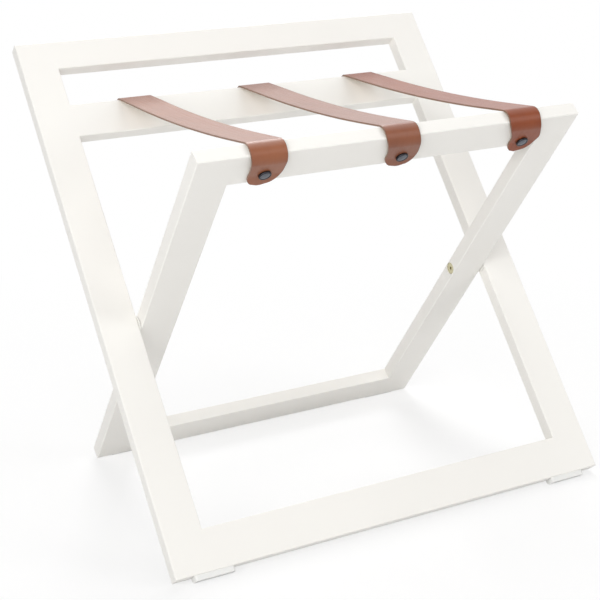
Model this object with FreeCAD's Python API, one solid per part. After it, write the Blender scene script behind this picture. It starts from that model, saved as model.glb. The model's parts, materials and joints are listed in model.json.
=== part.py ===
"""Folding luggage bench: a tall painted frame with a stand-up back, a short frame that crosses it
on two pivot bolts, and three leather straps that span from one to the other.

Millimetres, +Z up. The bench stands open on the floor (Z = 0), centred on X = 0 and on the middle
of its depth, with the tall frame's back towards +Y. Each frame is drawn upright about the pivot
axis, front face towards -Y, and is then leant into place.
"""

import FreeCAD, Part
import math
import os
from FreeCAD import Vector

# ---------------------------------------------------------------- driving dimensions, in mm
# Stance
lean_deg = 39.0  # how far each frame leans from the vertical when the straps are taut
leg = 310.0  # pivot to the bottom edge of either frame

# Tall frame, measured along its stiles from the pivot axis
tall_width = 600.0
tall_above = 400.0  # pivot to the top edge
tall_stile_width = 48.0
tall_top_rail_width = 40.0
tall_bottom_rail_width = 50.0
strap_rail_top = 306.0  # pivot to the strap rail's upper edge
strap_rail_width = 46.0

# Short frame, measured along its stiles from the pivot axis
side_gap = 2.0  # between a short stile and the tall stile beside it
short_above = 310.0
short_stile_width = 46.0
short_top_rail_width = 45.0
short_bottom_rail_width = 46.0

# Timber
timber = 18.0  # thickness of every stile and rail
arris = 1.5  # radius that the edges are sanded to

# Dowels in the joints between stiles and rails
dowel_dia = 8.0
dowel_half = 20.0  # length of dowel in each of the two pieces
dowel_pitch = 16.0  # between the two dowels of a joint
dowel_glue_gap = 0.05  # around the dowel
dowel_end_gap = 1.0  # beyond each end of the dowel

# Pivots
bolt_dia = 6.0
bolt_head_dia = 15.0
bolt_head_height = 2.0
bolt_head_sink = 1.0  # from the stile's face down to the head
bolt_socket = 4.0  # across the flats of the hexagon socket
bolt_socket_depth = 3.2
bolt_grip = 18.0  # length of bolt in the threaded insert
bolt_chamfer = 0.8
head_room = 0.4  # around the head, in its counterbore
running_gap = 0.05  # around the bolt, in the bush
thread_gap = 0.05  # around the bolt, in the insert
bush_wall = 1.45
insert_dia = 10.0
insert_length = 20.0
insert_end_room = 2.0
wood_gap = 0.05  # around the bush and the insert, in their holes
washer_dia = 24.0
washer_play = 0.4

# Straps
strap_width = 44.0
strap_thickness = 2.0
strap_left_gap = 16.0  # short frame's left stile to the left strap
strap_right_gap = 10.0  # right strap to the short frame's right stile
strap_middle_shift = 2.0  # middle strap, to the right of half-way between the others
strap_sag = 4.8  # below the straight line from rail to rail
strap_low_shift = 15.0  # from half-way to the middle of the sag, forwards
strap_lead = 40.0  # straight run between the sag and the short frame's rail
strap_lift = 0.3  # between the leather and the wood
strap_bend = 6.0  # inside radius that the leather takes over the strap rail's edges
strap_crest = 12.5  # inside radius of its one wide bend over the short frame's top rail
strap_crest_shift = 0.9  # from the middle of that rail's timber to the bend's centre, forwards
strap_settle = 8.0  # radius of its turn back onto the rail's face, above a stud
back_tail = 14.0  # back stud's axis to the tip
front_tail = 21.5
back_tip_radius = 14.0
front_tip_radius = 19.0

# Studs that hold the straps' ends
back_stud_drop = 25.0  # edge that the strap comes over, to the stud's axis
front_stud_drops = (30.5, 32.0, 34.5)  # the same at the front, set by hand, left to right
front_stud_shifts = (2.0, 6.0, 8.5)  # set by hand, right of each strap's middle
stud_dia = 15.0
stud_height = 3.6
stud_rim = 0.8  # height of the dome's straight rim
shank_dia = 3.0
shank_in_wood = 12.0
shank_point = 4.0  # length of the tapered end
shank_room = 0.4  # around the shank, in the leather
shank_gap = 0.05  # around the shank, in the wood

# Glides under the frames' ends
glide_length = 50.0
glide_thickness = 6.5
glide_inset = 1.0  # from each face of the timber
glide_flat = 7.0  # width of the flat that meets the floor
glide_corner = 3.0
nail_dia = 2.0
nail_head_dia = 4.5
nail_head_height = 0.9
nail_in_wood = 9.0
nail_pitch = 28.0
nail_sink = 0.8  # from the sole up to the nail's head
nail_offset = 2.5  # from the middle of the glide, towards its toe
nail_gap = 0.05

# ---------------------------------------------------------------- worked out from them
half_timber = timber / 2
lean = math.radians(lean_deg)
tall_opening = tall_width - 2 * tall_stile_width
short_width = tall_opening - 2 * side_gap
short_opening = short_width - 2 * short_stile_width
glide_depth = timber - 2 * glide_inset
washer_thickness = side_gap - washer_play
bush_dia = bolt_dia + 2 * (running_gap + bush_wall)
bolt_sink = bolt_head_sink + bolt_head_height

# Where each strap's middle and its studs lie, left to right
strap_left = -short_opening / 2 + strap_left_gap + strap_width / 2
strap_right = short_opening / 2 - strap_right_gap - strap_width / 2
strap_middle = (strap_left + strap_right) / 2 + strap_middle_shift
strap_places = (strap_left, strap_middle, strap_right)
back_stud_height = strap_rail_top - back_stud_drop
back_studs = [(x, back_stud_height) for x in strap_places]
front_stud_heights = [short_above - drop for drop in front_stud_drops]
front_studs = [(x + shift, height) for x, shift, height
               in zip(strap_places, front_stud_shifts, front_stud_heights)]

# The glide's lower heel edge, cut back by the flat, stands on the floor.
heel_height = leg + glide_thickness
heel_reach = heel_height * math.cos(lean) + glide_depth / 2 * math.sin(lean)
pivot_height = heel_reach - glide_flat * math.sin(lean) * math.cos(lean)


# ---------------------------------------------------------------- helpers
def box(x0, x1, y0, y1, z0, z1):
    """A box between two corners."""
    return Part.makeBox(x1 - x0, y1 - y0, z1 - z0, Vector(x0, y0, z0))


def rod(radius, start, end):
    """A round bar from one point to another."""
    axis = end - start
    return Part.makeCylinder(radius, axis.Length, start, axis)


def turned(points, start, along):
    """A solid turned about an axis. Each point is a radius and a height along the axis."""
    outline = [Vector(r, 0, h) for r, h in points]
    face = Part.Face(Part.makePolygon(outline + outline[:1]))
    solid = face.revolve(Vector(0, 0, 0), Vector(0, 0, 1), 360)
    solid.Placement = FreeCAD.Placement(start, FreeCAD.Rotation(Vector(0, 0, 1), along))
    return solid


def mirrored(shape):
    """The same piece on the other side of the bench."""
    return shape.mirror(Vector(0, 0, 0), Vector(1, 0, 0))


def group(solids):
    """Separate solids that share one node."""
    return Part.makeCompound(solids)


def leaning(shape, angle):
    """A shape drawn upright, leant about the pivot axis. A positive angle leans it forwards."""
    leant = shape.copy()
    leant.rotate(Vector(0, 0, 0), Vector(1, 0, 0), math.degrees(angle))
    return leant


# ---------------------------------------------------------------- painted frames
def frame_blank(width, bottom, top, windows, stile):
    """A whole frame in one piece, its edges sanded round. Windows are pairs of heights."""
    blank = box(-width / 2, width / 2, -half_timber, half_timber, bottom, top)
    for low, high in windows:
        inner = width / 2 - stile
        blank = blank.cut(box(-inner, inner, -timber, timber, low, high))
    face_edges = [e for e in blank.Edges if lies_on_a_face(e)]
    return blank.makeFillet(arris, face_edges)


def lies_on_a_face(edge):
    """True for an edge of the frame's front or back face."""
    depths = [v.Point.y for v in edge.Vertexes]
    return all(abs(abs(y) - half_timber) < 1e-6 for y in depths) and depths[0] * depths[1] > 0


def stile_of(blank, width, stile, bottom, top):
    """The left stile, sawn out of the blank."""
    side = box(-width / 2 - 1, -width / 2 + stile, -timber, timber, bottom - 1, top + 1)
    return blank.common(side)


def rail_of(blank, opening, low, high):
    """A rail, sawn out of the blank between the stiles."""
    span = box(-opening / 2, opening / 2, -timber, timber, low - 1, high + 1)
    return blank.common(span)


def dowel_heights(low, high):
    """The two dowels of a joint, either side of the rail's middle."""
    middle = (low + high) / 2
    return (middle - dowel_pitch / 2, middle + dowel_pitch / 2)


def dowel(x, height):
    """A dowel across the joint at x."""
    start = Vector(x - dowel_half, 0, height)
    return rod(dowel_dia / 2, start, start + Vector(2 * dowel_half, 0, 0))


def dowel_hole(x, height):
    """The hole for that dowel, through both pieces."""
    reach = dowel_half + dowel_end_gap
    start = Vector(x - reach, 0, height)
    return rod(dowel_dia / 2 + dowel_glue_gap, start, start + Vector(2 * reach, 0, 0))


def joints_of(opening, rails):
    """Where a frame's dowels go: x and height."""
    places = []
    for low, high in rails:
        for height in dowel_heights(low, high):
            places.append((-opening / 2, height))
            places.append((opening / 2, height))
    return places


def bored(piece, holes):
    """A piece with its holes drilled."""
    for hole in holes:
        piece = piece.cut(hole)
    return piece


# ---------------------------------------------------------------- pivots, right-hand side
def pivot_point(x):
    return Vector(x, 0, 0)


short_face_in = short_opening / 2  # the short stile's face towards the middle
short_face_out = short_width / 2
tall_face_in = tall_opening / 2
bolt_seat = short_face_in + bolt_sink
bolt_end = tall_face_in + bolt_grip


def hexagon(across, start, depth):
    """A hexagonal socket, sunk from start towards +X."""
    corner = across / 2 / math.cos(math.pi / 6)
    points = []
    for i in range(7):
        turn = math.radians(60 * i + 30)
        points.append(start + Vector(0, corner * math.cos(turn), corner * math.sin(turn)))
    return Part.Face(Part.makePolygon(points)).extrude(Vector(depth, 0, 0))


def pivot_bolt():
    """Flat-headed furniture bolt, its head in the short stile and its end in the tall one."""
    r = bolt_dia / 2
    head = rod(bolt_head_dia / 2, pivot_point(bolt_seat - bolt_head_height), pivot_point(bolt_seat))
    length = bolt_end - bolt_seat
    outline = [(0, 0), (r, 0), (r, length - bolt_chamfer), (r - bolt_chamfer, length), (0, length)]
    shank = turned(outline, pivot_point(bolt_seat), Vector(1, 0, 0))
    socket = hexagon(bolt_socket, pivot_point(bolt_seat - bolt_head_height), bolt_socket_depth)
    return head.fuse(shank).removeSplitter().cut(socket)


def pivot_bush():
    """Sleeve that lines the short stile, from the bolt head's seat to the outer face."""
    outer = rod(bush_dia / 2, pivot_point(bolt_seat), pivot_point(short_face_out))
    return outer.cut(rod(bolt_dia / 2 + running_gap, pivot_point(bolt_seat - 1),
                         pivot_point(short_face_out + 1)))


def pivot_washer():
    """Brass washer in the gap between the stiles, against the tall one."""
    start = pivot_point(tall_face_in - washer_thickness)
    disc = rod(washer_dia / 2, start, pivot_point(tall_face_in))
    bore = rod(bolt_dia / 2 + running_gap, start - Vector(1, 0, 0), pivot_point(tall_face_in + 1))
    return disc.cut(bore)


def pivot_insert():
    """Threaded insert in the tall stile that the bolt screws into."""
    body = rod(insert_dia / 2, pivot_point(tall_face_in), pivot_point(tall_face_in + insert_length))
    bore = rod(bolt_dia / 2 + thread_gap, pivot_point(tall_face_in - 1),
               pivot_point(tall_face_in + insert_length + 1))
    return body.cut(bore)


def short_stile_bore():
    """Counterbore for the bolt's head and the hole for the bush."""
    sink = rod(bolt_head_dia / 2 + head_room, pivot_point(short_face_in - 1),
               pivot_point(bolt_seat))
    hole = rod(bush_dia / 2 + wood_gap, pivot_point(short_face_in - 1),
               pivot_point(short_face_out + 1))
    return sink.fuse(hole)


def tall_stile_bore():
    """Blind hole for the threaded insert."""
    return rod(insert_dia / 2 + wood_gap, pivot_point(tall_face_in - 1),
               pivot_point(tall_face_in + insert_length + insert_end_room))


# ---------------------------------------------------------------- glides, left-hand side
def glide(x, heel):
    """Glide under a frame's end. Its heel is the side that meets the floor: +1 back, -1 front."""
    half = glide_length / 2
    deep = glide_depth / 2
    pad = box(x - half, x + half, -deep, deep, -leg - glide_thickness, -leg)
    uprights = [e for e in pad.Edges if abs(e.Vertexes[0].Z - e.Vertexes[1].Z) > 1e-6]
    pad = pad.makeFillet(glide_corner, uprights)
    pad = pad.cut(floor_wedge(x, heel))
    for place in nail_places(x):
        pad = pad.cut(nail_hole(place, heel))
    return pad


def floor_wedge(x, heel):
    """What the floor cuts off a glide's heel when the frame leans."""
    corner_y = heel * glide_depth / 2
    corner_z = -leg - glide_thickness
    up = glide_flat * math.sin(lean)
    across = glide_flat * math.cos(lean)
    past = 4.0  # the cutter reaches this many times the flat past the corner
    on_heel = Vector(x - glide_length, corner_y, corner_z + up)
    on_sole = Vector(x - glide_length, corner_y - heel * across, corner_z)
    along = (on_heel - on_sole) * past
    down = Vector(0, heel * math.sin(lean), -math.cos(lean)) * glide_flat * past
    outline = [on_sole - along, on_heel + along, on_heel + along + down, on_sole - along + down]
    face = Part.Face(Part.makePolygon(outline + outline[:1]))
    return face.extrude(Vector(2 * glide_length, 0, 0))


def nail_places(x):
    return (x - nail_pitch / 2, x + nail_pitch / 2)


def nail(x, heel):
    """Flat-headed nail, up through the glide into the frame."""
    y = -heel * nail_offset
    sole = -leg - glide_thickness
    start = Vector(x, y, sole + nail_sink)
    length = glide_thickness - nail_sink + nail_in_wood
    r = nail_dia / 2
    outline = [(0, 0), (nail_head_dia / 2, 0), (nail_head_dia / 2, nail_head_height),
               (r, nail_head_height), (r, length - nail_dia), (0, length)]
    return turned(outline, start, Vector(0, 0, 1))


def nail_hole(x, heel):
    """Hole for a nail: the head's recess in the sole, and the shank's hole."""
    y = -heel * nail_offset
    sole = -leg - glide_thickness
    seat = sole + nail_sink + nail_head_height
    recess = rod(nail_head_dia / 2 + nail_gap, Vector(x, y, sole - 1), Vector(x, y, seat))
    shank = rod(nail_dia / 2 + nail_gap, Vector(x, y, sole - 1),
                Vector(x, y, -leg + nail_in_wood + 1))
    return recess.fuse(shank)


# ---------------------------------------------------------------- straps
def in_depth(n, v, angle):
    """A point of a leaning frame in the Y-Z plane: n towards its front, v up from the pivot."""
    y = -n * math.cos(angle) - v * math.sin(angle)
    z = -n * math.sin(angle) + v * math.cos(angle)
    return Vector(0, y, z)


def strap_rounds(offset, back_height, front_height):
    """What the strap runs over, from its back tip to its front tip: a centre and a radius.

    Positive radii turn the strap over the wood, and negative ones turn it the other way. The
    offset moves the run outwards, from the leather's inner face towards its outer one. The
    heights are those of the strap's two studs.
    """
    off_back = bend(1, lean / 2, offset)
    onto_front = crest(offset)
    return [
        tip(-1, back_height - back_tail, -lean, offset),
        settle(-1, back_height, -lean, offset),
        bend(-1, math.pi / 4, offset),
        off_back,
        sag_round(off_back, onto_front, offset),
        onto_front,
        settle(1, front_height, lean, offset),
        tip(1, front_height - front_tail, lean, offset),
    ]


def bend(side, turn, offset):
    """The leather's bend over the strap rail's front (+1) or back (-1) edge.

    The leather clears the sanded edge by the lift. Turn is how far the middle of the bend leans
    from the rail's top towards that side.
    """
    inwards = strap_bend - arris - strap_lift
    n = side * (half_timber - arris - inwards * math.sin(turn))
    v = strap_rail_top - arris - inwards * math.cos(turn)
    return in_depth(n, v, -lean), strap_bend + offset


def crest(offset):
    """The one wide bend over the short frame's top rail.

    The leather clears the rail's sanded back edge by the lift, and bulges in front of its front
    edge, because it is too stiff to follow both.
    """
    inwards = strap_crest - arris - strap_lift
    across = half_timber - arris + strap_crest_shift
    v = short_above - arris - math.sqrt(inwards * inwards - across * across)
    return in_depth(strap_crest_shift, v, lean), strap_crest + offset


def settle(side, height, angle, offset):
    """The turn that lays the leather flat on the rail's side, just above the stud's head."""
    n = side * (half_timber + strap_lift + strap_settle)
    return in_depth(n, height + stud_dia / 2, angle), offset - strap_settle


def tip(side, end, angle, offset):
    """The strap's square end, flat on the rail's side."""
    return in_depth(side * half_timber, end, angle), strap_lift + offset


def sag_round(off_back, onto_front, offset):
    """The large circle, centred above the bench, that the sagging leather lies on."""
    start, end = tangent(off_back, onto_front)
    forwards = (end - start).normalize()
    up = Vector(0, forwards.z, -forwards.y)
    ahead = (end - start).Length / 2 - strap_low_shift
    reach = (ahead * ahead + strap_sag * strap_sag - strap_lead * strap_lead) / (2 * strap_sag)
    radius = reach - strap_crest
    low = end - forwards * ahead - up * (strap_sag + offset)
    return low + up * radius, offset - radius


def tangent(first, second):
    """Where a straight run leaves one round and meets the next."""
    (c1, r1), (c2, r2) = first, second
    line = c2 - c1
    turn = math.atan2(line.z, line.y) - math.asin((r2 - r1) / line.Length)
    outwards = Vector(0, math.sin(turn), -math.cos(turn))
    return c1 + outwards * r1, c2 + outwards * r2


def strap_side(offset, back_height, front_height):
    """One face of the leather seen from the side: straight runs joined by arcs."""
    rounds = strap_rounds(offset, back_height, front_height)
    runs = [tangent(a, b) for a, b in zip(rounds, rounds[1:])]
    edges = []
    for i, (start, end) in enumerate(runs):
        if i > 0:
            edges.append(arc_between(runs[i - 1][1], start, rounds[i]))
        edges.append(Part.makeLine(start, end))
    return edges, runs[0][0], runs[-1][1]


def arc_between(start, end, round_):
    """The arc on a round from one tangent point to the next."""
    centre, radius = round_
    half_way = ((start - centre) + (end - centre)).normalize()
    return Part.Arc(start, centre + half_way * abs(radius), end).toShape()


def strap(x, back_stud, front_stud):
    """One leather strap: over the strap rail, across the gap and over the short top rail."""
    back_x, back_height = back_stud
    front_x, front_height = front_stud
    inner, inner_start, inner_end = strap_side(0, back_height, front_height)
    outer, outer_start, outer_end = strap_side(strap_thickness, back_height, front_height)
    caps = [Part.makeLine(inner_start, outer_start), Part.makeLine(inner_end, outer_end)]
    outline = Part.Wire(Part.__sortEdges__(inner + outer + caps))
    leather = Part.Face(outline).extrude(Vector(strap_width, 0, 0))
    leather.translate(Vector(x - strap_width / 2, 0, 0))
    cutters = tip_corners(x, back_height - back_tail, back_tip_radius, -1, -lean)
    cutters += tip_corners(x, front_height - front_tail, front_tip_radius, 1, lean)
    cutters.append(leather_hole(back_x, back_height, -1, -lean))
    cutters.append(leather_hole(front_x, front_height, 1, lean))
    return bored(leather, cutters)


def tip_corners(x, end, r, side, angle):
    """What is trimmed off a strap's two tip corners, on a rail's front (+1) or back (-1)."""
    cutters = []
    for hand in (-1, 1):
        edge = x + hand * strap_width / 2
        inner = edge - hand * r
        low, high = sorted((inner, edge + hand))
        square = box(low, high, -3 * timber, 3 * timber, end - 1, end + r)
        rest = rod(r, Vector(inner, -4 * timber, end + r), Vector(inner, 4 * timber, end + r))
        near, far = sorted((0, -side * 3 * timber))
        beside = box(low, high, near, far, end - 1, end + r)
        cutters.append(leaning(square.cut(rest).common(beside), angle))
    return cutters


# ---------------------------------------------------------------- studs
def stud_seat(x, height, side):
    """A stud's seat on the leather, and the way it points, in an upright frame."""
    out = Vector(0, -side, 0)
    seat = Vector(x, 0, height) + out * (half_timber + strap_lift + strap_thickness)
    return seat, out


def leather_hole(x, height, side, angle):
    """The hole that a stud's shank goes through in the strap."""
    seat, out = stud_seat(x, height, side)
    through = rod(shank_dia / 2 + shank_room, seat + out,
                  seat - out * (strap_thickness + strap_lift))
    return leaning(through, angle)


def stud(x, height, side):
    """Dome-headed stud: the head on the leather, the shank in the rail."""
    seat, out = stud_seat(x, height, side)
    radius = stud_dia / 2
    rise = stud_height - stud_rim
    ball = (radius * radius + rise * rise) / (2 * rise)
    half = math.asin(radius / ball) / 2
    half_way = Vector(ball * math.sin(half), 0, stud_height - ball + ball * math.cos(half))
    length = strap_thickness + strap_lift + shank_in_wood
    r = shank_dia / 2
    crown = Vector(0, 0, stud_height)
    shoulder = Vector(radius, 0, stud_rim)
    corners = [crown, Vector(0, 0, -length), Vector(r, 0, shank_point - length), Vector(r, 0, 0),
               Vector(radius, 0, 0), shoulder]
    edges = [Part.makeLine(a, b) for a, b in zip(corners, corners[1:])]
    edges.append(Part.Arc(shoulder, half_way, crown).toShape())
    solid = Part.Face(Part.Wire(edges)).revolve(Vector(0, 0, 0), Vector(0, 0, 1), 360)
    solid.Placement = FreeCAD.Placement(seat, FreeCAD.Rotation(Vector(0, 0, 1), out))
    return solid


def stud_hole(x, height, side):
    """Hole in a rail for one stud's shank."""
    seat, out = stud_seat(x, height, side)
    depth = strap_thickness + strap_lift + shank_in_wood + 1
    return rod(shank_dia / 2 + shank_gap, seat, seat - out * depth)


# ---------------------------------------------------------------- building the bench
def build_tall_frame():
    top_rail = (tall_above - tall_top_rail_width, tall_above)
    strap_rail = (strap_rail_top - strap_rail_width, strap_rail_top)
    bottom_rail = (-leg, -leg + tall_bottom_rail_width)
    windows = [(strap_rail[1], top_rail[0]), (bottom_rail[1], strap_rail[0])]
    blank = frame_blank(tall_width, -leg, tall_above, windows, tall_stile_width)
    places = joints_of(tall_opening, (top_rail, strap_rail, bottom_rail))
    holes = [dowel_hole(x, height) for x, height in places]
    feet = build_feet("tall", -tall_opening / 2, 1)
    holes += feet.pop("holes")
    studs = [stud_hole(x, height, -1) for x, height in back_studs]

    stile = stile_of(blank, tall_width, tall_stile_width, -leg, tall_above)
    left = bored(stile, holes + [mirrored(tall_stile_bore())])
    return feet | {
        "tall_stile_left": left,
        "tall_stile_right": mirrored(left),
        "tall_top_rail": bored(rail_of(blank, tall_opening, *top_rail), holes),
        "strap_rail": bored(rail_of(blank, tall_opening, *strap_rail), holes + studs),
        "tall_bottom_rail": bored(rail_of(blank, tall_opening, *bottom_rail), holes),
        "tall_frame_dowels": group([dowel(x, height) for x, height in places]),
    }


def build_short_frame():
    top_rail = (short_above - short_top_rail_width, short_above)
    bottom_rail = (-leg, -leg + short_bottom_rail_width)
    windows = [(bottom_rail[1], top_rail[0])]
    blank = frame_blank(short_width, -leg, short_above, windows, short_stile_width)
    places = joints_of(short_opening, (top_rail, bottom_rail))
    holes = [dowel_hole(x, height) for x, height in places]
    feet = build_feet("short", -short_opening / 2, -1)
    holes += feet.pop("holes")
    studs = [stud_hole(x, height, 1) for x, height in front_studs]

    stile = stile_of(blank, short_width, short_stile_width, -leg, short_above)
    left = bored(stile, holes + [mirrored(short_stile_bore())])
    return feet | {
        "short_stile_left": left,
        "short_stile_right": mirrored(left),
        "short_top_rail": bored(rail_of(blank, short_opening, *top_rail), holes + studs),
        "short_bottom_rail": bored(rail_of(blank, short_opening, *bottom_rail), holes),
        "short_frame_dowels": group([dowel(x, height) for x, height in places]),
    }


def build_feet(name, x, heel):
    """A frame's two glides, the nails that hold them, and the holes for those nails."""
    left = glide(x, heel)
    nails = [nail(place, heel) for place in nail_places(x)]
    holes = [nail_hole(place, heel) for place in nail_places(x)]
    return {
        f"{name}_glide_left": left,
        f"{name}_glide_right": mirrored(left),
        f"{name}_glide_nails": group(nails + [mirrored(n) for n in nails]),
        "holes": holes + [mirrored(hole) for hole in holes],
    }


def build_pivots():
    """What stays with the tall frame at each pivot."""
    pieces = {}
    for name, shape in (("bolt", pivot_bolt()), ("washer", pivot_washer()),
                        ("insert", pivot_insert())):
        pieces[f"pivot_{name}_right"] = shape
        pieces[f"pivot_{name}_left"] = mirrored(shape)
    return pieces


def build_bushes():
    """What turns with the short frame at each pivot."""
    bush = pivot_bush()
    return {"pivot_bush_right": bush, "pivot_bush_left": mirrored(bush)}


def build_straps():
    pieces = {}
    for name, x, back, front in zip(("left", "middle", "right"), strap_places,
                                    back_studs, front_studs):
        pieces[f"strap_{name}"] = strap(x, back, front)
    return pieces


tall_pieces = build_tall_frame() | build_pivots()
tall_pieces["back_studs"] = group([stud(x, height, -1) for x, height in back_studs])
short_pieces = build_short_frame() | build_bushes()
short_pieces["front_studs"] = group([stud(x, height, 1) for x, height in front_studs])
parts = build_straps()
for node, shape in tall_pieces.items():
    parts[node] = leaning(shape, -lean)
for node, shape in short_pieces.items():
    parts[node] = leaning(shape, lean)

# Stand the bench on the floor, with the middle of its depth at Y = 0.
boxes = [shape.optimalBoundingBox() for shape in parts.values()]
depth_middle = (min(b.YMin for b in boxes) + max(b.YMax for b in boxes)) / 2
to_floor = Vector(0, -depth_middle, pivot_height)
os.makedirs("parts", exist_ok=True)
for node, shape in parts.items():
    shape.translate(to_floor)
    shape.exportStep(f"parts/{node}.step")

print("nodes", len(parts))
print("pivot axis at Y %.4f, Z %.4f" % (to_floor.y, to_floor.z))
print("depth %.2f, height %.2f" % (
    max(b.YMax for b in boxes) - min(b.YMin for b in boxes),
    max(b.ZMax for b in boxes) + pivot_height))
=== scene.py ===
# %% [markdown]
# # A folding luggage bench
# This lesson dresses a folding luggage bench: two white painted frames that cross on two bolts,
# with three leather straps across their tops. The wooden boards, bolts and glides come ready made
# from the CAD model, so here they only need a finish. Leather is soft and hand-cut, so the straps
# and their studs are made new.

# %% Load the bench's frame
import json
import math
import bmesh
import bpy
from mathutils import Matrix, Vector


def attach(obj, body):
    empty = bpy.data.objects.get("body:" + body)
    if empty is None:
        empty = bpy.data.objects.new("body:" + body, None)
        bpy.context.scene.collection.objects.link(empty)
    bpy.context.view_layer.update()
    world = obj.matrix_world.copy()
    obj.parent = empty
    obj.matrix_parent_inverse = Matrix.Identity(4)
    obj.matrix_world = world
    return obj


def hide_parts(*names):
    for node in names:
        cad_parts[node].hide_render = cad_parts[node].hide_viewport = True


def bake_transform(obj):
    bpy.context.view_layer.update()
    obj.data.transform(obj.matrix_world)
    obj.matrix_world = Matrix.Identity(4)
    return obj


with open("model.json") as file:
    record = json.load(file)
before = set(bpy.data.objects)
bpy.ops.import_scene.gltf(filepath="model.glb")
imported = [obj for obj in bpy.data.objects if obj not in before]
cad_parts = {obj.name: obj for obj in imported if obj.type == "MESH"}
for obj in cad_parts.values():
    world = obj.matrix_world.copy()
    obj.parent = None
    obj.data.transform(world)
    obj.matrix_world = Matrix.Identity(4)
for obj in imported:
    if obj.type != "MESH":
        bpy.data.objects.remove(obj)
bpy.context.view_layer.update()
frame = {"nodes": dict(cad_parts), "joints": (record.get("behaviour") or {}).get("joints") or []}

# %% [markdown]
# ## Where to stand
# A product picture is taken with a long lens from a few paces away, so the boards keep their
# proportions. The camera looks from the front left and a little down. A tiny roll is kept because a
# hand-held or tripod camera is seldom dead level.

# %% Set up the camera
def camera_matrix(place, turn, dip, roll):
    """Look along +Y, turned to the right, dipped and rolled, all in degrees."""
    heading = Matrix.Rotation(math.radians(-turn), 4, "Z")
    tilt = Matrix.Rotation(math.radians(90 - dip), 4, "X")
    return Matrix.Translation(place) @ heading @ tilt @ Matrix.Rotation(math.radians(roll), 4, "Z")


CAMERA_PLACE = (-0.8142, -1.5189, 0.7767)
LENS = 82.77  # mm, on a 36 mm sensor
camera_data = bpy.data.cameras.new("view_camera")
camera_data.sensor_width = 36
camera_data.lens = LENS
camera = bpy.data.objects.new("view_camera", camera_data)
camera.matrix_world = camera_matrix(CAMERA_PLACE, turn=27.8, dip=17.58, roll=-1.47)
bpy.context.scene.collection.objects.link(camera)
bpy.context.scene.camera = camera
bpy.context.scene.view_settings.view_transform = "Standard"
print("camera at", [round(v, 3) for v in camera.location], "lens", camera_data.lens, "mm")

# %% [markdown]
# ## A way to write a finish
# Every finish below starts from one shader with its plain numbers typed straight into its sockets.
# Detail comes from procedural textures that are wired in afterwards, so nothing depends on a
# picture file. A few small helpers keep the wiring short. They add a node, join two sockets, mix
# two tones, raise bumps and stretch a pattern.

# %% Helpers for finishes
def blank_finish(name, **plain):
    """A material whose unchanging numbers and colours sit on the shader itself."""
    made = bpy.data.materials.new(name)
    made.use_nodes = True
    shader = made.node_tree.nodes["Principled BSDF"]
    for socket, value in plain.items():
        shader.inputs[socket.replace("_", " ")].default_value = value
    return made, shader


def add(finish, kind, **values):
    """One more node. Numbers go to its sockets, and anything else is a setting."""
    node = finish.node_tree.nodes.new(kind)
    for name, value in values.items():
        socket = name.replace("_", " ")
        if socket in node.inputs:
            node.inputs[socket].default_value = value
        else:
            setattr(node, name, value)
    return node


def wire(finish, out, into):
    finish.node_tree.links.new(out, into)


def two_tones(finish, amount, first, second):
    """A colour that moves between two tones as the amount goes from 0 to 1."""
    mix = add(finish, "ShaderNodeMix", data_type="RGBA")
    mix.inputs["A"].default_value = (*first, 1)
    mix.inputs["B"].default_value = (*second, 1)
    wire(finish, amount, mix.inputs["Factor"])
    return mix.outputs["Result"]


def relief(finish, height, depth, under=None):
    """Bumps as deep as depth, in metres, on top of any that are already under them."""
    bump = add(finish, "ShaderNodeBump", Strength=1.0, Distance=depth)
    wire(finish, height, bump.inputs["Height"])
    if under is not None:
        wire(finish, under, bump.inputs["Normal"])
    return bump.outputs["Normal"]


def between(finish, value, low, high):
    """Stretches a 0 to 1 pattern to run from low to high."""
    span = add(finish, "ShaderNodeMapRange", To_Min=low, To_Max=high)
    wire(finish, value, span.inputs["Value"])
    return span.outputs["Result"]


print("helpers ready")

# %% [markdown]
# ## Painted boards
# The boards are close-grained hardwood under satin off-white paint. Paint hides the colour of the
# wood but not quite its surface: the grain still shows as very faint streaks along each board, and
# the roller leaves a fine stipple. A picture of painted wood would be flat from close by, so both
# are made from noise. The streaks have to follow the board, so the pattern's axes are leant with
# the frame, and rails and stiles get the grain in their own direction.

# %% Mix the paint
LEAN = math.radians(39)  # each frame leans this far from upright
ALONG_GRAIN, ACROSS_GRAIN = 14, 380  # streaks in a metre, along the board and across it
STIPPLE = 900.0  # the roller's bumps in a metre
GRAIN_DEPTH, STIPPLE_DEPTH = 0.00003, 0.00001
PATCHES = 7.0  # in a metre, where the paint is a little deeper and rougher
PAINT_LIGHT, PAINT_DEEP = (0.905, 0.888, 0.850), (0.888, 0.870, 0.830)


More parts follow.
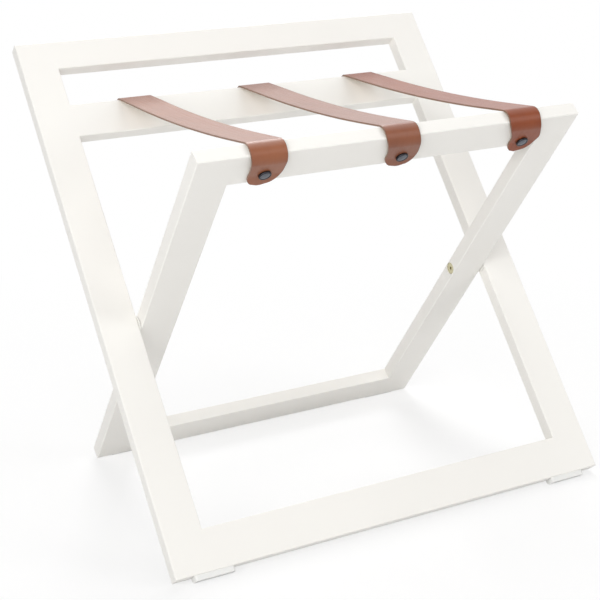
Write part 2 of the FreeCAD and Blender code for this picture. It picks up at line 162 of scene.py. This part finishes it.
def painted_wood(name, lean, along):
    """Satin paint over wood. Along is the board's own direction before the frame leans."""
    finish, shader = blank_finish(name, Roughness=0.4, Specular_IOR_Level=0.25)
    place = add(finish, "ShaderNodeTexCoord").outputs["Object"]
    upright = add(finish, "ShaderNodeMapping", vector_type="TEXTURE", Rotation=(lean, 0, 0))
    wire(finish, place, upright.inputs["Vector"])
    stretch = {"X": (ALONG_GRAIN, ACROSS_GRAIN, ACROSS_GRAIN),
               "Z": (ACROSS_GRAIN, ACROSS_GRAIN, ALONG_GRAIN)}[along]
    board = add(finish, "ShaderNodeMapping", Scale=stretch)
    wire(finish, upright.outputs["Vector"], board.inputs["Vector"])
    streaks = add(finish, "ShaderNodeTexNoise", Scale=1.0, Detail=3.0, Roughness=0.6)
    wire(finish, board.outputs["Vector"], streaks.inputs["Vector"])
    stipple = add(finish, "ShaderNodeTexNoise", Scale=STIPPLE, Detail=2.0)
    wire(finish, place, stipple.inputs["Vector"])
    patches = add(finish, "ShaderNodeTexNoise", Scale=PATCHES, Detail=2.0)
    wire(finish, place, patches.inputs["Vector"])
    tone = two_tones(finish, patches.outputs["Fac"], PAINT_LIGHT, PAINT_DEEP)
    wire(finish, tone, shader.inputs["Base Color"])
    satin = between(finish, patches.outputs["Fac"], low=0.36, high=0.46)
    wire(finish, satin, shader.inputs["Roughness"])
    grain = relief(finish, streaks.outputs["Fac"], GRAIN_DEPTH)
    skin = relief(finish, stipple.outputs["Fac"], STIPPLE_DEPTH, grain)
    wire(finish, skin, shader.inputs["Normal"])
    return finish


paints = {}
for frame_name, lean in (("tall", -LEAN), ("short", LEAN)):
    for along in "XZ":
        name = f"{frame_name}_paint_{'rails' if along == 'X' else 'stiles'}"
        paints[frame_name, along] = painted_wood(name, lean, along)
print("paints", [p.name for p in paints.values()])

# %% [markdown]
# Each board now gets the paint that matches its frame and its direction. A CAD piece keeps its mesh
# as it is: only what sits in its material slots changes.

# %% Paint the boards
def give(node, finish):
    """Puts a finish on a CAD piece."""
    piece = frame["nodes"][node]
    piece.data.materials.clear()
    piece.data.materials.append(finish)


for side in ("left", "right"):
    give(f"tall_stile_{side}", paints["tall", "Z"])
    give(f"short_stile_{side}", paints["short", "Z"])
for rail in ("tall_top_rail", "strap_rail", "tall_bottom_rail"):
    give(rail, paints["tall", "X"])
for rail in ("short_top_rail", "short_bottom_rail"):
    give(rail, paints["short", "X"])
print("painted 9 boards")

# %% [markdown]
# ## Small hardware
# The pivot bolts and the inserts that they screw into are plated a pale brass colour. The bushes
# and the washers between the frames are off-white nylon, which hardly shows against the paint. The
# glides are plain moulded plastic, and the nails are bright steel. Plated parts catch fine marks
# when they are driven home, so their roughness is broken up by a noise. Moulded plastic has a faint
# sparkle of texture instead.

# %% Finish the hardware
SCRATCH_DEPTH, SPARKLE_DEPTH = 0.00001, 0.00002
SPARKLE = 1400.0  # the moulded texture's dots in a metre


def metal(name, colour, dull, marks):
    """A plated or drawn metal, its shine broken by fine marks, so many in a metre."""
    finish, shader = blank_finish(name, Base_Color=(*colour, 1), Metallic=1.0)
    place = add(finish, "ShaderNodeTexCoord").outputs["Object"]
    scratches = add(finish, "ShaderNodeTexNoise", Scale=marks, Detail=4.0)
    wire(finish, place, scratches.inputs["Vector"])
    broken = between(finish, scratches.outputs["Fac"], low=dull - 0.08, high=dull + 0.12)
    wire(finish, broken, shader.inputs["Roughness"])
    skin = relief(finish, scratches.outputs["Fac"], SCRATCH_DEPTH)
    wire(finish, skin, shader.inputs["Normal"])
    return finish


def moulded(name, light, dark, rough):
    """Moulded plastic with a fine spark-eroded texture."""
    finish, shader = blank_finish(name, Roughness=rough, Specular_IOR_Level=0.4)
    place = add(finish, "ShaderNodeTexCoord").outputs["Object"]
    texture = add(finish, "ShaderNodeTexNoise", Scale=SPARKLE, Detail=2.0)
    wire(finish, place, texture.inputs["Vector"])
    tone = two_tones(finish, texture.outputs["Fac"], dark, light)
    wire(finish, tone, shader.inputs["Base Color"])
    skin = relief(finish, texture.outputs["Fac"], SPARKLE_DEPTH)
    wire(finish, skin, shader.inputs["Normal"])
    return finish


brass = metal("plated_brass", (0.56, 0.52, 0.34), dull=0.34, marks=900.0)
steel = metal("nail_steel", (0.55, 0.55, 0.55), dull=0.35, marks=700.0)
glide_plastic = moulded("glide_plastic", (0.84, 0.84, 0.82), (0.78, 0.78, 0.76), rough=0.5)
nylon = moulded("pale_nylon", (0.82, 0.81, 0.77), (0.76, 0.75, 0.71), rough=0.42)
for side in ("left", "right"):
    for piece in ("bolt", "insert"):
        give(f"pivot_{piece}_{side}", brass)
    for piece in ("bush", "washer"):
        give(f"pivot_{piece}_{side}", nylon)
    give(f"tall_glide_{side}", glide_plastic)
    give(f"short_glide_{side}", glide_plastic)
give("tall_glide_nails", steel)
give("short_glide_nails", steel)
print("finished the pivots, glides and nails")

# %% [markdown]
# The dowels inside the joints are never seen on a finished bench, but a repairer who takes one
# apart finds bare beech. Beech has short dark flecks along the grain, and a stretched noise gives
# them.

# %% Finish the dowels
FLECKS = (90, 1500, 1500)  # in a metre, along a dowel and across it
beech, shader = blank_finish("bare_beech", Roughness=0.6)
place = add(beech, "ShaderNodeTexCoord").outputs["Object"]
flecks_lie = add(beech, "ShaderNodeMapping", Scale=FLECKS)
wire(beech, place, flecks_lie.inputs["Vector"])
flecks = add(beech, "ShaderNodeTexNoise", Scale=1.0, Detail=3.0)
wire(beech, flecks_lie.outputs["Vector"], flecks.inputs["Vector"])
tone = two_tones(beech, flecks.outputs["Fac"], (0.62, 0.43, 0.26), (0.45, 0.28, 0.15))
wire(beech, tone, shader.inputs["Base Color"])
give("tall_frame_dowels", beech)
give("short_frame_dowels", beech)
print("dowels in", beech.name)

# %% [markdown]
# ## The line a strap follows
# A strap starts on the back of the rear rail, goes over the rail's top, sags a little across the
# gap, and comes over the front rail in one wide bend that touches only the rail's two edges. Below
# them it stands off the wood and settles onto the rail's face beside the stud. Leather is stiff: it
# can't turn a square corner, so seen from the side it is a chain of gentle arcs and straight runs.
# Bezier handles could imitate that, but rounding it over imagined rollers is how the leather really
# behaves. Each roller is a centre and a radius. A positive radius turns the strap over the wood, a
# negative one turns it back the other way.

# %% Rollers for the strap
PIVOT = Vector(frame["joints"][0]["pos_m"])
HALF_TIMBER = 0.009
ARRIS = 0.0015  # how far the boards' edges are sanded round
BACK_TOP = 0.306  # up the tall frame from the pivot to its strap rail's top edge
FRONT_TOP = 0.310  # the same on the short frame
LIFT = 0.0003  # the leather's inner face stands this far off the wood
BEND = 0.006  # inside radius over the rear rail's edges
CREST = 0.0130  # inside radius of the wide bend over the front rail
CREST_SHIFT = -0.0003  # its centre, forwards from the rail's middle, so a little behind it
# Each end turns back onto its rail: the turn's radius, and how far above the stud it is done.
BACK_SETTLE = (0.008, 0.0075)
FRONT_SETTLE = (0.025, -0.004)
BACK_STUD = BACK_TOP - 0.025  # up the frame to the stud's middle
BACK_TAIL = 0.014  # the leather beyond the back stud
SAG = 0.0058  # how far the lowest point lies below the straight line from rail to rail
LOW_SHIFT = 0.003  # the lowest point lies this far from half-way, towards the front
LEAD = 0.040  # the straight run between the sag and the bend over the front rail


def on_board(out, up, lean):
    """A point beside a leaning board: out towards its front, up from the pivot."""
    return Vector((-out * math.cos(lean) - up * math.sin(lean),
                   -out * math.sin(lean) + up * math.cos(lean)))


def over_edge(side, turn):
    """The bend over the rear rail's front (1) or back (-1) edge, and turn is half its angle."""
    inside = BEND - ARRIS - LIFT
    return on_board(side * (HALF_TIMBER - ARRIS - inside * math.sin(turn)),
                    BACK_TOP - ARRIS - inside * math.cos(turn), -LEAN), BEND


def crest():
    """The wide bend over the front rail's two top edges."""
    inside = CREST - ARRIS - LIFT
    across = HALF_TIMBER - ARRIS + CREST_SHIFT
    up = FRONT_TOP - ARRIS - math.sqrt(inside ** 2 - across ** 2)
    return on_board(CREST_SHIFT, up, LEAN), CREST


def stud_end(side, stud, tail, lean, settle):
    """The rollers at a strap's end: its tip, and the turn that settles it on the rail."""
    radius, above = settle
    return [(on_board(side * HALF_TIMBER, stud - tail, lean), LIFT),
            (on_board(side * (HALF_TIMBER + LIFT + radius), stud + above, lean), -radius)]


print("crest centre", [round(v, 4) for v in crest()[0]])

# %% [markdown]
# Straight runs leave one roller and meet the next along a shared tangent. The sag is one more
# roller, as large as a carousel and hanging above the bench, placed so that its underside dips a
# few millimetres below the straight line from rail to rail.

# %% Join the rollers
def shared_tangent(first, second):
    """Where the leather leaves one roller and meets the next."""
    (c1, r1), (c2, r2) = first, second
    line = c2 - c1
    turn = math.atan2(line.y, line.x) - math.asin((r2 - r1) / line.length)
    outwards = Vector((math.sin(turn), -math.cos(turn)))
    return c1 + outwards * r1, c2 + outwards * r2


def sag_roller(first, second):
    """The large roller between the rear rail's bend and the crest."""
    start, end = shared_tangent(first, second)
    ahead = (end - start).length / 2 - LOW_SHIFT
    forwards = (end - start).normalized()
    up = Vector((forwards.y, -forwards.x))
    radius = (ahead ** 2 + SAG ** 2 - LEAD ** 2) / (2 * SAG) - CREST
    return end - forwards * ahead + up * (radius - SAG), -radius


def strap_rollers(front_stud, front_tail):
    """The rollers from the back tip to the front tip, on the leather's inner face."""
    back = stud_end(-1, BACK_STUD, BACK_TAIL, -LEAN, BACK_SETTLE) + [over_edge(-1, math.pi / 4)]
    off_back = over_edge(1, LEAN / 2)
    front = stud_end(1, front_stud, front_tail, LEAN, FRONT_SETTLE)
    return back + [off_back, sag_roller(off_back, crest()), crest()] + front[::-1]


print("sag radius", round(-sag_roller(over_edge(1, LEAN / 2), crest())[1], 2), "m")

# %% [markdown]
# Walking along the rollers in short steps gives the strap's side view as a row of points. The steps
# are shorter on the tight bends, where a coarse step would show as flats.

# %% Walk along the strap
TIGHT = 0.02  # a roller with a smaller radius than this gets the fine step
FINE_STEP, WIDE_STEP, STRAIGHT_STEP = 0.0008, 0.004, 0.003


def round_roller(roller, start, end, step):
    """Points round one roller, from start to just before end."""
    centre, radius = roller
    first = math.atan2(*(start - centre).yx)
    sweep = (math.atan2(*(end - centre).yx) - first + math.pi) % (2 * math.pi) - math.pi
    count = max(2, math.ceil(abs(sweep * radius) / step))
    for i in range(count):
        angle = first + sweep * i / count
        yield centre + abs(radius) * Vector((math.cos(angle), math.sin(angle)))


def side_view(rollers):
    """The strap seen from the side, as points from its back tip to its front tip."""
    runs = [shared_tangent(a, b) for a, b in zip(rollers, rollers[1:])]
    line = []
    for i, (start, end) in enumerate(runs):
        if i > 0:
            step = FINE_STEP if abs(rollers[i][1]) < TIGHT else WIDE_STEP
            line += round_roller(rollers[i], runs[i - 1][1], start, step)
        count = max(1, math.ceil((end - start).length / STRAIGHT_STEP))
        line += [start.lerp(end, k / count) for k in range(count)]
    return line + [runs[-1][1]]


def measured(line):
    """How far along the strap each point lies."""
    along = [0.0]
    for before, after in zip(line, line[1:]):
        along.append(along[-1] + (after - before).length)
    return along


DROP, TAIL = 0.032, 0.0185  # a usual stud down the front rail, and the leather beyond it
sample = side_view(strap_rollers(FRONT_TOP - DROP, TAIL))
print(len(sample), "points along", round(measured(sample)[-1] * 1000, 1), "mm of leather")

# %% [markdown]
# ## Cutting the strap
# A real strap is cut from hide, so it has one even thickness and softly worn edges. Modelling it as
# a thin sheet and letting a Solidify modifier give it thickness keeps that thickness true even when
# the leather bends. Each row of the sheet runs across the strap. Near a tip the rows get narrower
# along a quarter circle, which rounds the corners as a strap-end cutter does. Hand fitting leaves
# each strap a few millimetres off square, and short lists say by how much.

# %% Cut the leather
HALF_WIDTH = 0.022
TIP_HALF_WIDTH = 0.0204  # the front end is pared a little narrower
OVER_BACK = 0.060  # leather from the back tip until it is over the rear rail
OVER_FRONT = 0.056  # leather from the crest to the front tip
PARED = 0.018  # the paring is done this far from the front tip


def interpolate(x, stops):
    """Reads a short list of (place, value) stops, smoothly between them."""
    for (x0, y0), (x1, y1) in zip(stops, stops[1:]):
        if x <= x1:
            t = min(1.0, max(0.0, (x - x0) / (x1 - x0)))
            return y0 + (y1 - y0) * t * t * (3 - 2 * t)
    return stops[-1][1]


def trimmed(to_tip, corner):
    """How much a tip's rounded corner takes off the strap's half width."""
    if to_tip >= corner:
        return 0.0
    return corner - math.sqrt(corner ** 2 - (corner - to_tip) ** 2)


def row_ends(s, length, middles, corners):
    """The two ends of the row at s metres from the back tip."""
    back, front_left, front_right = corners
    x = interpolate(s, middles)
    half = interpolate(s, ((length - OVER_FRONT, HALF_WIDTH), (length - PARED, TIP_HALF_WIDTH)))
    left = trimmed(s, back) + trimmed(length - s, front_left)
    right = trimmed(s, back) + trimmed(length - s, front_right)
    return x - half + left, x + half - right


widths = [round(half * 2000, 1) for half in (HALF_WIDTH, TIP_HALF_WIDTH)]
print("straps are", widths[0], "mm wide and", widths[1], "mm at the front tip")

# %% [markdown]
# The rows are joined into one sheet. Its columns lie closer together near the edges, where the
# corners curve most. Each point also keeps two things for the leather's finish: its place on the
# hide, and how far it is from the nearest cut edge.

# %% Join the rows
COLUMNS = 20
LEAST_HALF = 0.0005  # so that no row shrinks to a point


def cut_strap(name, line, middles, corners):
    """The leather's inner face as a sheet. Middles says where its middle lies across the bench."""
    along = measured(line)
    sheet = bmesh.new()
    places = sheet.loops.layers.uv.new("leather_place")
    rim = sheet.verts.layers.float.new("rim")
    rows = []
    for point, s in zip(line, along):
        left, right = row_ends(s, along[-1], middles, corners)
        half = max((right - left) / 2, LEAST_HALF)
        row = []
        for j in range(COLUMNS + 1):
            share = math.sin((j / COLUMNS - 0.5) * math.pi)  # closer together near the edges
            x = (left + right) / 2 + half * share
            v = sheet.verts.new((x, PIVOT.y + point.x, PIVOT.z + point.y))
            v[rim] = min(half * (1 - abs(share)), s, along[-1] - s)
            row.append((v, x - middles[0][1], s))
        rows.append(row)
    for back, front in zip(rows, rows[1:]):
        for j in range(COLUMNS):
            patch = (back[j], front[j], front[j + 1], back[j + 1])
            face = sheet.faces.new([c[0] for c in patch])
            face.smooth = True
            for loop, (_, u, s) in zip(face.loops, patch):
                loop[places].uv = (u, s)
    mesh = bpy.data.meshes.new(name)
    sheet.to_mesh(mesh)
    sheet.free()
    strap = bpy.data.objects.new(name, mesh)
    bpy.context.scene.collection.objects.link(strap)
    return strap


print("each row has", COLUMNS + 1, "points")

# %% [markdown]
# The three straps share one pattern. They differ in where they lie, in how far down the front rail
# each was pulled, and in how its end was trimmed.

# %% Cut the three straps
strap_places = {  # where the middle lies at the rear rail, at the crest, at the stud and at the tip
    "left": (-0.1645, -0.1665, -0.163, -0.163),
    "middle": (0.0085, 0.0015, 0.0105, 0.0108),
    "right": (0.1705, 0.170, 0.184, 0.1865),
}
front_ends = {  # the stud across the bench and down the rail, and the leather beyond it
    "left": (-0.164, 0.0305, 0.0182),
    "middle": (0.011, 0.032, 0.0174),
    "right": (0.1805, 0.0345, 0.0187),
}
tip_corners = {  # the corners' radii at the back, and at the front on the left and on the right
    "left": (0.014, 0.0145, 0.022),
    "middle": (0.014, 0.0185, 0.0185),
    "right": (0.014, 0.0115, 0.0285),
}
straps = {}
lines = {}
for name, (back_x, crest_x, stud_x, tip_x) in strap_places.items():
    _, drop, tail = front_ends[name]
    lines[name] = side_view(strap_rollers(FRONT_TOP - drop, tail))
    length = measured(lines[name])[-1]
    middles = ((OVER_BACK, back_x), (length - OVER_FRONT, crest_x),
               (length - tail, stud_x), (length, tip_x))
    straps[name] = cut_strap(f"leather_strap_{name}", lines[name], middles, tip_corners[name])
    print(straps[name].name, len(straps[name].data.vertices), "points")

# %% [markdown]
# ## Leather
# Smooth bridle leather is a warm brown that mottles from red to tan, with fine pores, faint creases
# along its length and darker edges where the cut was burnished. Its waxed face throws back a lot of
# light at a low angle, which is why a strap's top looks pale and pinkish from the front while its
# hanging end stays brown. That shift has to come from the shader's own gloss, so that it follows
# the viewer round the bench. Each strap gets its own brown, gloss and sheen, as painted shade and
# painted highlight: the left one lighter and glossier, the right one darker, as the light falls off
# across the bench. The underside is raw leather, pale and fibrous.

# %% Dye and wax the leather
CREASE_DEPTH, PORE_DEPTH = 0.00012, 0.00004
BURNISHED = 0.0012  # how far in from a cut the face is darkened
MOTTLE, PORES = 38.0, 1500.0  # in a metre
CREASES = (420, 16, 1)  # in a metre, across the strap and along it


def leather(name, light, deep, sheen, gloss=0.4, edge=None):
    """Mottled leather. Edge is the darker tone beside its cuts, where it has one."""
    finish, shader = blank_finish(name, Specular_IOR_Level=gloss, Sheen_Weight=sheen,
                                  Sheen_Roughness=0.25, Sheen_Tint=(1.0, 0.88, 0.87, 1))
    place = add(finish, "ShaderNodeUVMap", uv_map="leather_place").outputs["UV"]
    mottle = add(finish, "ShaderNodeTexNoise", Scale=MOTTLE, Detail=5.0, Roughness=0.6)
    wire(finish, place, mottle.inputs["Vector"])
    lengthways = add(finish, "ShaderNodeMapping", Scale=CREASES)
    wire(finish, place, lengthways.inputs["Vector"])
    creases = add(finish, "ShaderNodeTexNoise", Scale=1.0, Detail=4.0)
    wire(finish, lengthways.outputs["Vector"], creases.inputs["Vector"])
    pores = add(finish, "ShaderNodeTexVoronoi", Scale=PORES)
    wire(finish, place, pores.inputs["Vector"])
    dyed = two_tones(finish, mottle.outputs["Fac"], deep, light)
    if edge:
        from_edge = add(finish, "ShaderNodeAttribute", attribute_name="rim")
        inner = add(finish, "ShaderNodeMapRange", From_Max=BURNISHED,
                    interpolation_type="SMOOTHSTEP")
        wire(finish, from_edge.outputs["Fac"], inner.inputs["Value"])
        burnish = add(finish, "ShaderNodeMix", data_type="RGBA")
        burnish.inputs["A"].default_value = (*edge, 1)
        wire(finish, dyed, burnish.inputs["B"])
        wire(finish, inner.outputs["Result"], burnish.inputs["Factor"])
        dyed = burnish.outputs["Result"]
    wire(finish, dyed, shader.inputs["Base Color"])
    waxed = between(finish, creases.outputs["Fac"], low=0.26, high=0.50)
    wire(finish, waxed, shader.inputs["Roughness"])
    grain = relief(finish, creases.outputs["Fac"], CREASE_DEPTH)
    skin = relief(finish, pores.outputs["Distance"], PORE_DEPTH, grain)
    wire(finish, skin, shader.inputs["Normal"])
    return finish


# Painted shade: one leather in three tones, lightest and glossiest on the left, darkest on the
# right.
leathers_shaded_left_to_right = {
    "left": leather("bridle_leather_left", (0.315, 0.098, 0.033), (0.21, 0.063, 0.025),
                    sheen=0.42, gloss=0.56, edge=(0.17, 0.065, 0.035)),
    "middle": leather("bridle_leather_middle", (0.27, 0.083, 0.031), (0.18, 0.054, 0.024),
                      sheen=0.48, gloss=0.47, edge=(0.14, 0.055, 0.030)),
    "right": leather("bridle_leather_right", (0.275, 0.063, 0.017), (0.19, 0.040, 0.012),
                     sheen=0.22, gloss=0.32, edge=(0.12, 0.045, 0.025)),
}
cut_edge = leather("burnished_edge", (0.30, 0.17, 0.11), (0.20, 0.105, 0.065), sheen=0.3)
flesh_side = leather("flesh_side", (0.66, 0.54, 0.43), (0.54, 0.42, 0.32), sheen=0.2)
print("leather", [hide.name for hide in leathers_shaded_left_to_right.values()], "and", cut_edge.name)

# %% [markdown]
# Solidify gives the sheet its thickness outwards, away from the wood. It puts the raw finish on the
# face against the wood and the burnished one on the cut edges. A small bevel takes the sharpness
# off the edges, as an edge tool does.

# %% Give the leather its thickness
LEATHER = 0.002
WORN_EDGE = 0.0005  # how far the cut edges are worn back
for name, strap in straps.items():
    for finish in (leathers_shaded_left_to_right[name], flesh_side, cut_edge):
        strap.data.materials.append(finish)
    thick = strap.modifiers.new("thickness", "SOLIDIFY")
    thick.thickness = LEATHER
    thick.offset = 1
    thick.material_offset = 1
    thick.material_offset_rim = 2
    worn = strap.modifiers.new("worn_edges", "BEVEL")
    worn.width = WORN_EDGE
    worn.segments = 2
    worn.limit_method = "ANGLE"
    worn.angle_limit = math.radians(50)
print("straps are", LEATHER * 1000, "mm thick")

# %% [markdown]
# ## Setting the straps in place
# When the bench folds, the front rail swings back to the rear one and the slack leather drops
# between them in a loop. Here each strap's placement is baked into its mesh, and the CAD model's
# own straps, which these stand in for, are hidden. The straps are not set up to follow the fold.


for name, strap in straps.items():
    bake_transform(strap)
    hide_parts(f"strap_{name}")

# %% [markdown]
# ## Studs
# Each strap end is held by one gunmetal stud with a rolled rim round a low dome. A stud is turned
# on a lathe, so it is made the same way: a short profile of radius and height, spun round an axis
# that stands square on the leather, which near the front studs still slopes a little as it settles
# onto the rail. Profiles are easier to adjust than stacked discs, and the rim catches a thin line
# of light. The dome is painted a lighter gunmetal than the dark rim, a painted reflection, as if
# the dome mirrored the pale surroundings.

# %% Turn the studs
STUD_PROFILE = (  # radius and height in mm: the dome, the groove round it, the rim, the underside
    (0.0, 3.3), (2.2, 3.2), (4.0, 2.9), (5.1, 2.55), (5.5, 2.5), (5.8, 2.75), (6.3, 2.95),
    (6.9, 2.8), (7.35, 2.3), (7.5, 1.6), (7.4, 0.7), (7.0, 0.1), (6.6, -0.2), (0.0, -0.2))
DOME_RINGS = 4  # so many steps of the profile are the dome
STEPS = 48  # round the axis


def turn_on_lathe(name, profile, place, out):
    """Spins a profile, in millimetres, round the axis that points out from place."""
    lathe = bmesh.new()
    facing = Vector((0, 0, 1)).rotation_difference(out).to_matrix()
    rings = []
    for radius, height in profile:
        spokes = STEPS if radius > 0 else 1
        ring = []
        for k in range(spokes):
            turn = 2 * math.pi * k / STEPS
            local = Vector((radius * math.cos(turn), radius * math.sin(turn), height)) / 1000
            ring.append(lathe.verts.new(Vector(place) + facing @ local))
        rings.append(ring)
    for upper, lower in zip(rings, rings[1:]):
        for k in range(STEPS):
            ends = (upper[k % len(upper)], upper[(k + 1) % len(upper)],
                    lower[(k + 1) % len(lower)], lower[k % len(lower)])
            corners = [v for i, v in enumerate(ends) if v not in ends[:i]]
            lathe.faces.new(corners).smooth = True
    bmesh.ops.recalc_face_normals(lathe, faces=lathe.faces)
    mesh = bpy.data.meshes.new(name)
    lathe.to_mesh(mesh)
    lathe.free()
    made = bpy.data.objects.new(name, mesh)
    bpy.context.scene.collection.objects.link(made)
    return made


print("a stud is", 2 * max(radius for radius, _ in STUD_PROFILE), "mm across")

# %% [markdown]
# A stud is driven through the leather, so it sits on the leather's outer face wherever that lies.
# Its seat is looked up on the strap's own side view, and it points straight away from there.

# %% Seat the studs
def stud_place(x, line, side, up, lean):
    """The stud's seat on a strap's outer face and the way it points."""
    wanted = on_board(side * HALF_TIMBER, up, lean)
    i = min(range(1, len(line) - 1), key=lambda k: (line[k] - wanted).length)
    along = (line[i + 1] - line[i - 1]).normalized()
    out = Vector((along.y, -along.x))
    seat = line[i] + along * (wanted - line[i]).dot(along) + out * LEATHER
    return Vector((x, PIVOT.y + seat.x, PIVOT.z + seat.y)), Vector((0, out.x, out.y))


gunmetal = metal("gunmetal", (0.040, 0.040, 0.046), dull=0.30, marks=500.0)
# Painted reflection: the dome gets a lighter gunmetal than the rim, as if it mirrored pale
# surroundings.
dome_painted_reflection = metal("gunmetal_dome", (0.13, 0.135, 0.155), dull=0.34, marks=500.0)
for name, (front_x, drop, _) in front_ends.items():
    ends = (("back", strap_places[name][0], -1, BACK_STUD, -LEAN, "tall_frame"),
            ("front", front_x, 1, FRONT_TOP - drop, LEAN, "short_frame"))
    for end, x, side, up, lean, body in ends:
        place, out = stud_place(x, lines[name], side, up, lean)
        print(end, name, "stud points", [round(v, 2) for v in out])
        stud = turn_on_lathe(f"{end}_stud_{name}", STUD_PROFILE, place, out)
        stud.data.materials.append(gunmetal)
        stud.data.materials.append(dome_painted_reflection)
        for face in stud.data.polygons[:DOME_RINGS * STEPS]:
            face.material_index = 1
        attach(stud, body)
        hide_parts(f"{end}_studs")
print("turned 6 studs in", gunmetal.name)

# %% [markdown]
# ## Floor
# The bench stands on a plain white floor that runs off into a white background. The floor is a
# large sheet that takes the bench's soft shadow close by. Further off it fades into plain white, so
# that floor and background meet without a horizon. The light that it throws back onto the bench
# stays that of an ordinary pale floor.

# %% Lay the floor
def seen_directly(tree):
    """1 for what the eye, a reflection or a clear part sees, and 0 for thrown light."""
    rays = tree.nodes.new("ShaderNodeLightPath")
    total = rays.outputs["Is Camera Ray"]
    for name in ("Is Glossy Ray", "Is Transmission Ray"):
        either = tree.nodes.new("ShaderNodeMath")
        either.operation = "MAXIMUM"
        tree.links.new(total, either.inputs[0])
        tree.links.new(rays.outputs[name], either.inputs[1])
        total = either.outputs[0]
    return total


HALF_FLOOR = 9  # m
FADE = (0.30, 1.1)  # between these distances the floor turns into plain white
WHITE_NEARBY = 0.62  # and nearby this much of it is plain white already
corners = [(x * HALF_FLOOR, y * HALF_FLOOR, 0) for x, y in ((-1, -1), (1, -1), (1, 1), (-1, 1))]
floor_mesh = bpy.data.meshes.new("floor")
floor_mesh.from_pydata(corners, [], [(0, 1, 2, 3)])
floor = bpy.data.objects.new("floor", floor_mesh)
bpy.context.scene.collection.objects.link(floor)
floor_finish = bpy.data.materials.new("pale_floor")
floor_finish.use_nodes = True
tree = floor_finish.node_tree
tree.nodes.remove(tree.nodes["Principled BSDF"])
thrown = add(floor_finish, "ShaderNodeBsdfDiffuse", Color=(0.80, 0.80, 0.80, 1))
nearby = add(floor_finish, "ShaderNodeBsdfDiffuse", Color=(0.97, 0.97, 0.97, 1))
far_off = add(floor_finish, "ShaderNodeEmission", Strength=1.0)
place = add(floor_finish, "ShaderNodeTexCoord").outputs["Object"]
distance = add(floor_finish, "ShaderNodeVectorMath", operation="LENGTH")
wire(floor_finish, place, distance.inputs[0])
fade = add(floor_finish, "ShaderNodeMapRange", From_Min=FADE[0], From_Max=FADE[1],
           interpolation_type="SMOOTHSTEP")
wire(floor_finish, distance.outputs["Value"], fade.inputs["Value"])
seen = add(floor_finish, "ShaderNodeMixShader")
whiteness = between(floor_finish, fade.outputs["Result"], low=WHITE_NEARBY, high=1.0)
wire(floor_finish, whiteness, seen.inputs[0])
wire(floor_finish, nearby.outputs[0], seen.inputs[1])
wire(floor_finish, far_off.outputs[0], seen.inputs[2])
choice = add(floor_finish, "ShaderNodeMixShader")
wire(floor_finish, seen_directly(tree), choice.inputs[0])
wire(floor_finish, thrown.outputs[0], choice.inputs[1])
wire(floor_finish, seen.outputs[0], choice.inputs[2])
wire(floor_finish, choice.outputs[0], tree.nodes["Material Output"].inputs["Surface"])
floor_finish.cycles.emission_sampling = "NONE"  # its white lights nothing, so it isn't a lamp
floor_mesh.materials.append(floor_finish)
print("floor", [round(v) for v in floor.dimensions], "m")

# %% [markdown]
# ## Light
# White paint shows every change of light, so the light has to be soft and nearly even. Five wide
# lamps give most of it. The strongest stands on the left and makes the faces that look left the
# brightest. One behind the bench gives the straps' tops their pale gloss, one overhead keeps the
# rails' top edges clean, and two in front fill the faces towards the camera. A low even sky fills
# the rest. Faces that look down or away fall a few tones lower, which is all that separates white
# boards from a white background.

# %% Light the bench
SKY = 0.20  # the strength of the even light from all round
world = bpy.data.worlds.new("studio")
bpy.context.scene.world = world
world.use_nodes = True
tree = world.node_tree
background = tree.nodes["Background"]
background.inputs["Strength"].default_value = SKY
background.inputs["Color"].default_value = (1, 0.995, 0.985, 1)
white = tree.nodes.new("ShaderNodeBackground")
white.inputs["Color"].default_value = (1, 1, 1, 1)
choice = tree.nodes.new("ShaderNodeMixShader")
tree.links.new(seen_directly(tree), choice.inputs[0])
tree.links.new(background.outputs[0], choice.inputs[1])
tree.links.new(white.outputs[0], choice.inputs[2])
tree.links.new(choice.outputs[0], tree.nodes["World Output"].inputs["Surface"])


def wide_lamp(name, place, aim, size, watts):
    """A soft square lamp that looks at a point."""
    lamp = bpy.data.lights.new(name, "AREA")
    lamp.shape = "SQUARE"
    lamp.size = size
    lamp.energy = watts
    holder = bpy.data.objects.new(name, lamp)
    holder.location = place
    holder.rotation_euler = (Vector(aim) - Vector(place)).to_track_quat("-Z", "Y").to_euler()
    bpy.context.scene.collection.objects.link(holder)


wide_lamp("left_lamp", (-2.4, -1.6, 1.6), aim=(0, 0, 0.3), size=2.0, watts=50)
wide_lamp("right_lamp", (1.9, -2.1, 1.3), aim=(0, 0, 0.4), size=1.4, watts=17.5)
wide_lamp("camera_lamp", (-1.0, -2.2, 1.7), aim=(0, 0, 0.4), size=0.9, watts=13)
wide_lamp("top_lamp", (0.8, 0.1, 3.1), aim=(0, 0, 0.3), size=2.4, watts=28)
wide_lamp("back_lamp", (0.9, 2.0, 2.45), aim=(0, 0, 0.45), size=1.5, watts=42)
